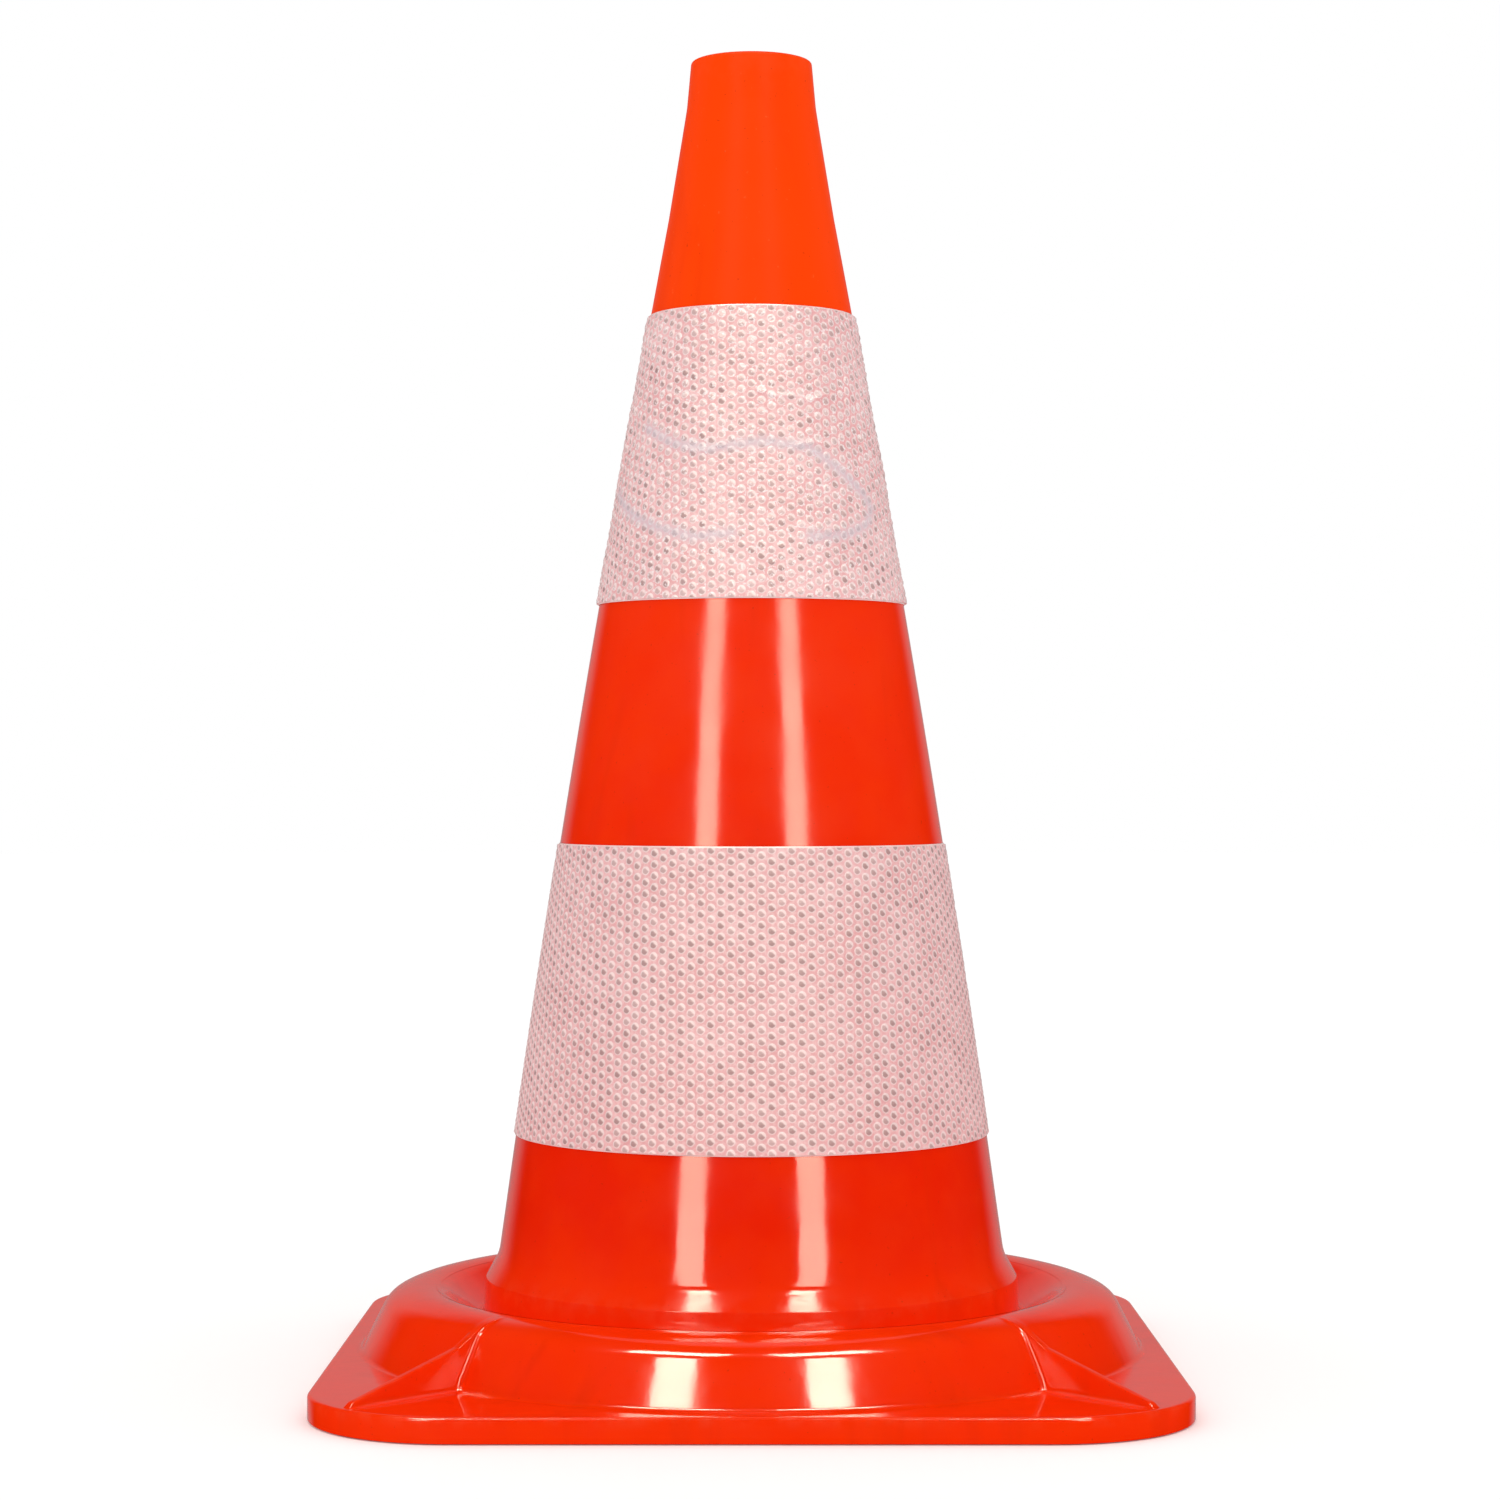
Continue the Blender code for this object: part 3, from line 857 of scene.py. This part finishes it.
def prismatic(name, glue, whiteness, rough):
    """Clear film in a pink sealed lattice, its prism cells tinted grey as painted shade with a painted
    highlight on each.
    """
    f = Finish(name)
    cell = f.remap(f.attribute("cell"), 0.28, 0.50)
    tone = f.attribute("tone")
    clouds = f.noise(55, 3, 0.55)
    ground = f.mix(f.remap(clouds, 0.35, 0.68), colour(*whiteness[0]), colour(*whiteness[1]))
    fine = f.noise(700, 2, 0.6)
    ground = f.mix(f.remap(fine, 0.40, 0.66, 0, 0.35), ground, colour(0.98, 0.74, 0.72))
    # Painted shade: the cells are tinted grey for the dark room that the prisms would mirror, with a random
    # tone per cell
    painted_shade_dots = f.mix(tone, colour(0.80, 0.61, 0.60), colour(0.62, 0.47, 0.46))
    base = f.mix(f.math("MULTIPLY", cell, 0.85), ground, painted_shade_dots)
    # Painted shade mask of each cell, read from the mesh
    painted_shade = f.remap(f.attribute("painted_shade"), 0.20, 0.80)
    # Painted highlight on the upper right of each cell, where its painted shade is low
    painted_highlight = f.math("MULTIPLY", cell, f.math("SUBTRACT", 1.0, painted_shade))
    base = f.mix(f.math("MULTIPLY", painted_highlight, 0.50 if glue else 0.45), base, colour(1.0, 0.80, 0.80))
    # Painted shade on each cell's lower side and tip, deeper in patches and in cells of a darker tone
    patches = f.remap(f.noise(28, 2, 0.5), 0.40, 0.60, 0.55 if glue else 0.9, 1.0)
    in_painted_shade = f.math("MULTIPLY", painted_shade, patches)
    depth = f.math("MULTIPLY", in_painted_shade, f.remap(tone, 0, 1, 0.25 if glue else 0.50, 0.80))
    base = f.mix(depth, base, colour(0.37, 0.20, 0.20))
    if glue:
        # Painted highlight along the creases, broken up in patches
        painted_crease_highlight = f.math("MULTIPLY", f.attribute("crease"), f.remap(f.noise(380, 2, 0.6), 0.30, 0.60))
        base = f.mix(f.math("MULTIPLY", painted_crease_highlight, 0.35), base, colour(1.0, 0.92, 0.92))
        # Painted glints: small white flecks scattered over the creased film
        base = f.mix(f.remap(f.noise(900, 1, 0.4), 0.60, 0.68, 0, 0.55), base, colour(1.0, 0.95, 0.95))
        base = f.mix(f.math("MULTIPLY", f.attribute("glue"), 0.65), base, colour(0.66, 0.56, 0.62))
    f.set(Base_Color=base)
    f.set(Metallic=f.math("MULTIPLY", cell, 0.05))
    grain = f.remap(f.noise(240, 3, 0.6), 0.3, 0.7, rough - 0.06, rough + 0.08)
    f.set(Roughness=f.math("ADD", grain, f.math("MULTIPLY", cell, 0.08)))
    ripples = f.bump(f.noise(330, 2, 0.5), 0.35, 0.0002)
    f.set(Normal=f.bump(f.noise(1100, 2, 0.5), 0.25, 0.0001, ripples))
    f.set(IOR=1.5, Specular_IOR_Level=0.3)
    return f.material


def carrier():
    """Smooth pink film, of which only the sealed edges show beside the face film."""
    f = Finish("carrier_film_sealed")
    streaks = f.noise(120, 3, 0.5, f.scaled((1, 1, 3)))
    base = f.mix(f.remap(streaks, 0.3, 0.7), colour(0.92, 0.62, 0.60), colour(0.96, 0.78, 0.76))
    f.set(Base_Color=base)
    f.set(Roughness=f.remap(f.noise(300, 2, 0.5), 0.3, 0.7, 0.26, 0.42))
    f.set(Normal=f.bump(f.noise(800, 2, 0.5), 0.2, 0.0001))
    return f.material


def floor_finish():
    f = Finish("studio_floor")
    grain = f.noise(6, 3, 0.5)
    f.set(Base_Color=f.mix(grain, colour(0.985, 0.985, 0.985), colour(1.0, 1.0, 1.0)))
    f.set(Roughness=0.9, Specular_IOR_Level=0.0, Emission_Color=colour(1, 1, 1), Emission_Strength=0.05)
    return f.material


# ---------------------------------------------------------------- studio

CAMERA_DISTANCE = 1.208
CAMERA_HEIGHT = 0.204
AIM = Vector((-0.0005, 0.0, 0.2125))
LENS = 84.0
SENSOR_WIDTH = 36.0
WORLD_FILL = 0.97
BACKDROP = 0.32
DARK_ROOM = 0.002
LAMP_TARGET = Vector((0, 0, 0.12))
LAMP_COLOUR = (1.0, 0.95, 0.74)
FLOOR_RADIUS = 8.0
FLOOR_DROP = 0.0003


def from_front(azimuth_deg, elevation_deg, distance):
    azimuth, elevation = math.radians(azimuth_deg), math.radians(elevation_deg)
    flat = distance * math.cos(elevation)
    return Vector((flat * math.sin(azimuth), -flat * math.cos(azimuth), distance * math.sin(elevation)))


def camera():
    data = bpy.data.cameras.new("camera")
    data.lens = LENS
    data.sensor_width = SENSOR_WIDTH
    data.clip_start, data.clip_end = 0.01, 50.0
    obj = bpy.data.objects.new("camera", data)
    bpy.context.scene.collection.objects.link(obj)
    obj.location = (0, -CAMERA_DISTANCE, CAMERA_HEIGHT)
    obj.rotation_euler = (AIM - obj.location).to_track_quat("-Z", "Y").to_euler()
    bpy.context.scene.camera = obj


def softbox(name, azimuth, elevation, distance, width, height, power, glossy=True, diffuse=True):
    data = bpy.data.lights.new(name, "AREA")
    data.shape = "RECTANGLE"
    data.size, data.size_y = width, height
    data.energy = power
    data.color = LAMP_COLOUR
    obj = bpy.data.objects.new(name, data)
    bpy.context.scene.collection.objects.link(obj)
    obj.location = LAMP_TARGET + from_front(azimuth, elevation, distance)
    obj.rotation_euler = (LAMP_TARGET - obj.location).to_track_quat("-Z", "Y").to_euler()
    obj.visible_camera = False
    obj.visible_glossy = glossy
    obj.visible_diffuse = diffuse
    return obj


def lights():
    """Lamps on both sides that only make the highlights, and one that only adds soft light."""
    for side, sign in (("left", -1), ("right", 1)):
        softbox(
            f"strip_{side}", azimuth=27 * sign, elevation=15, distance=2.0,
            width=0.42, height=0.9, power=21.5, diffuse=False,
        )
        softbox(
            f"middle_{side}", azimuth=27 * sign, elevation=44, distance=5.0,
            width=0.90, height=0.70, power=88, diffuse=False,
        )
        softbox(
            f"overhead_{side}", azimuth=36 * sign, elevation=63, distance=3.0,
            width=1.20, height=0.62, power=115, diffuse=False,
        )
    softbox(
        "top_fill", azimuth=0, elevation=70, distance=1.6,
        width=1.6, height=1.6, power=2, glossy=False,
    )


def world():
    """White for the eye and for soft light; reflections see a dark room with a dim backdrop at +Y."""
    made = bpy.data.worlds.new("studio")
    bpy.context.scene.world = made
    made.use_nodes = True
    made.cycles.sampling_method = "NONE"
    tree = made.node_tree
    tree.nodes.clear()
    coordinates = tree.nodes.new("ShaderNodeTexCoord")
    split = tree.nodes.new("ShaderNodeSeparateXYZ")
    tree.links.new(coordinates.outputs["Generated"], split.inputs[0])

    def remap(value, low, high, to_low, to_high):
        made = tree.nodes.new("ShaderNodeMapRange")
        made.interpolation_type = "SMOOTHSTEP"
        tree.links.new(value, made.inputs["Value"])
        for key, given in zip(("From Min", "From Max", "To Min", "To Max"), (low, high, to_low, to_high)):
            made.inputs[key].default_value = given
        return made.outputs["Result"]

    def compute(operation, first, second):
        made = tree.nodes.new("ShaderNodeMath")
        made.operation = operation
        for socket, value in zip(made.inputs, (first, second)):
            if isinstance(value, bpy.types.NodeSocket):
                tree.links.new(value, socket)
            else:
                socket.default_value = value
        return made.outputs["Value"]

    behind = remap(split.outputs["Y"], 0.72, 0.90, 0.0, 1.0)
    low_down = remap(split.outputs["Z"], 0.75, 0.35, 0.0, 1.0)
    backdrop = compute("MULTIPLY", compute("MULTIPLY", behind, low_down), BACKDROP)
    reflected = compute("ADD", backdrop, DARK_ROOM)
    path = tree.nodes.new("ShaderNodeLightPath")
    seen = compute("ADD", compute("MULTIPLY", path.outputs["Is Camera Ray"], 1.0 - WORLD_FILL), WORLD_FILL)
    is_glossy = path.outputs["Is Glossy Ray"]
    strength = compute("ADD", compute("MULTIPLY", reflected, is_glossy),
                       compute("MULTIPLY", seen, compute("SUBTRACT", 1.0, is_glossy)))
    background = tree.nodes.new("ShaderNodeBackground")
    background.inputs["Color"].default_value = (1, 1, 1, 1)
    tree.links.new(strength, background.inputs["Strength"])
    output = tree.nodes.new("ShaderNodeOutputWorld")
    tree.links.new(background.outputs[0], output.inputs["Surface"])


def floor():
    """The studio floor, set just below the plate so that the two never share a plane."""
    disc = bmesh.new()
    bmesh.ops.create_circle(disc, cap_ends=True, cap_tris=True, segments=96, radius=FLOOR_RADIUS)
    mesh = bpy.data.meshes.new("floor")
    disc.to_mesh(mesh)
    disc.free()
    mesh.materials.append(floor_finish())
    obj = bpy.data.objects.new("floor", mesh)
    bpy.context.scene.collection.objects.link(obj)
    obj.location.z = -FLOOR_DROP
    obj.visible_glossy = False


def film_marks(film, sleeve):
    """Stores on each vertex how much dried glue shows through there, and how sharply it is creased."""
    count = len(film.data.vertices)
    flat = np.empty(count * 3)
    film.data.vertices.foreach_get("co", flat)
    points = flat.reshape(-1, 3) / MM
    across = np.arctan2(points[:, 0], -points[:, 1]) * sleeve.radius
    up = points[:, 2] - (sleeve.top + sleeve.bottom) / 2
    for name, lines, width in (("glue", GLUE_TRAILS, GLUE_WIDTH), ("crease", CREASES, CREASE_WIDTH)):
        amount = np.maximum.reduce([line_swell(line, width, across, up) for line in lines])
        layer = film.data.attributes.new(name, "FLOAT", "POINT")
        layer.data.foreach_set("value", amount.astype(np.float32))


def main():
    bpy.context.scene.view_settings.view_transform = "Standard"
    cone_moulding(orange_pvc("orange_pvc_glossy", 0.14, 0.3), orange_pvc("orange_pvc_dull_tip", 0.32, 0.02))
    sealed = carrier()
    lower, upper = Sleeve("lower"), Sleeve("upper")
    for sleeve in (lower, upper):
        backing_film(sleeve, sealed)
    smooth_film = prismatic("prismatic_film_smooth", False, ((0.78, 0.37, 0.38), (0.84, 0.45, 0.46)), 0.55)
    creased_film = prismatic("prismatic_film_creased", True, ((0.82, 0.39, 0.40), (0.88, 0.48, 0.49)), 0.50)
    face_film(lower, smooth_film, 0.01, flat_lift)
    top_film = face_film(upper, creased_film, 0.10, creased_lift)
    film_marks(top_film, upper)
    world()
    lights()
    floor()
    camera()


main()
